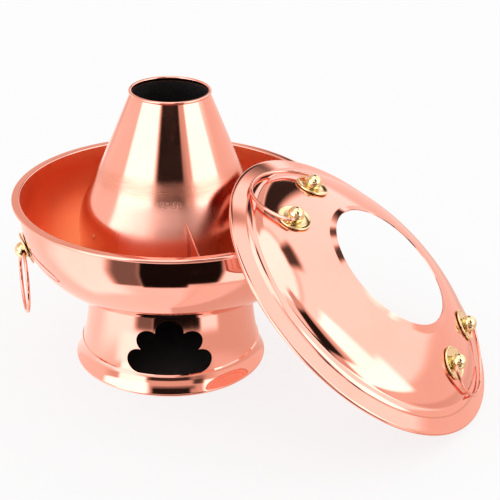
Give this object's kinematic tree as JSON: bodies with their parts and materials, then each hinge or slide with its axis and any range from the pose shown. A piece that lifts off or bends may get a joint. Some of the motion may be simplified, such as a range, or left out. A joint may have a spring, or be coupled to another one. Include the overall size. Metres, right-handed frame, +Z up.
{
  "type": "chimney hot pot",
  "caption": "Copper hot pot: a round soup bowl split by dividers round a charcoal chimney, on a flared base with an air opening, its ring lid leaning on the rim.",
  "frame": {"origin": "middle of the foot, on the table", "axes": "+Z up along the chimney, -Y towards the front with the air opening, lid leaning towards +X"},
  "size_m": [0.4861, 0.3968, 0.2924],
  "materials": {
    "copper_sheet": "polished rose copper sheet",
    "copper_wire": "polished copper wire",
    "lug_brass": "polished pale brass",
    "sooty_iron": "matt black, sooty",
    "edge_wire": "drawn wire, hidden in the rolled edges"
  },
  "bodies": {
    "pot": {"base_shell": "copper_sheet", "foot_wire": "edge_wire", "ash_plate": "sooty_iron", "bowl_shell": "copper_sheet", "rim_wire": "edge_wire", "fire_grate": "sooty_iron", "chimney_shell": "copper_sheet", "mouth_wire": "edge_wire", "chimney_liner": "sooty_iron", "divider_front": "copper_sheet", "divider_back": "copper_sheet", "handle_plate_left": "lug_brass", "handle_lug_left": "lug_brass", "handle_nut_left": "lug_brass", "handle_plate_right": "lug_brass", "handle_lug_right": "lug_brass", "handle_nut_right": "lug_brass"},
    "lid": {"lid_shell": "copper_sheet", "lid_edge_wire": "edge_wire", "lid_plate_upper_a": "lug_brass", "lid_plate_upper_b": "lug_brass", "lid_plate_lower_a": "lug_brass", "lid_plate_lower_b": "lug_brass", "lid_lug_upper_a": "lug_brass", "lid_lug_upper_b": "lug_brass", "lid_lug_lower_a": "lug_brass", "lid_lug_lower_b": "lug_brass", "lid_nut_upper_a": "lug_brass", "lid_nut_upper_b": "lug_brass", "lid_nut_lower_a": "lug_brass", "lid_nut_lower_b": "lug_brass"},
    "bail_upper": {"lid_bail_upper": "copper_wire"},
    "bail_lower": {"lid_bail_lower": "copper_wire"},
    "ring_left": {"handle_ring_left": "copper_wire"},
    "ring_right": {"handle_ring_right": "copper_wire"}
  },
  "joints": [
    {"name": "lid_lift", "type": "slide", "parent": "pot", "child": "lid", "axis": [0, 0, 1], "range_m": [0, 0.3]},
    {"name": "bail_upper_swing", "type": "hinge", "parent": "lid", "child": "bail_upper", "pos_m": [0.13218, -0.06089, 0.20243], "axis": [0.3002, 0.9524, 0.0533], "range_deg": [0, 175]},
    {"name": "bail_lower_swing", "type": "hinge", "parent": "lid", "child": "bail_lower", "pos_m": [0.29213, -0.10369, 0.06631], "axis": [-0.3002, -0.9524, -0.0533], "range_deg": [0, 175]},
    {"name": "ring_left_swing", "type": "hinge", "parent": "pot", "child": "ring_left", "pos_m": [-0.14763, -0.0349, 0.13312], "axis": [-0.23, 0.9732, 0], "range_deg": [-15, 150]},
    {"name": "ring_right_swing", "type": "hinge", "parent": "pot", "child": "ring_right", "pos_m": [0.14763, 0.0349, 0.13312], "axis": [0.23, -0.9732, 0], "range_deg": [-15, 90]}
  ]
}
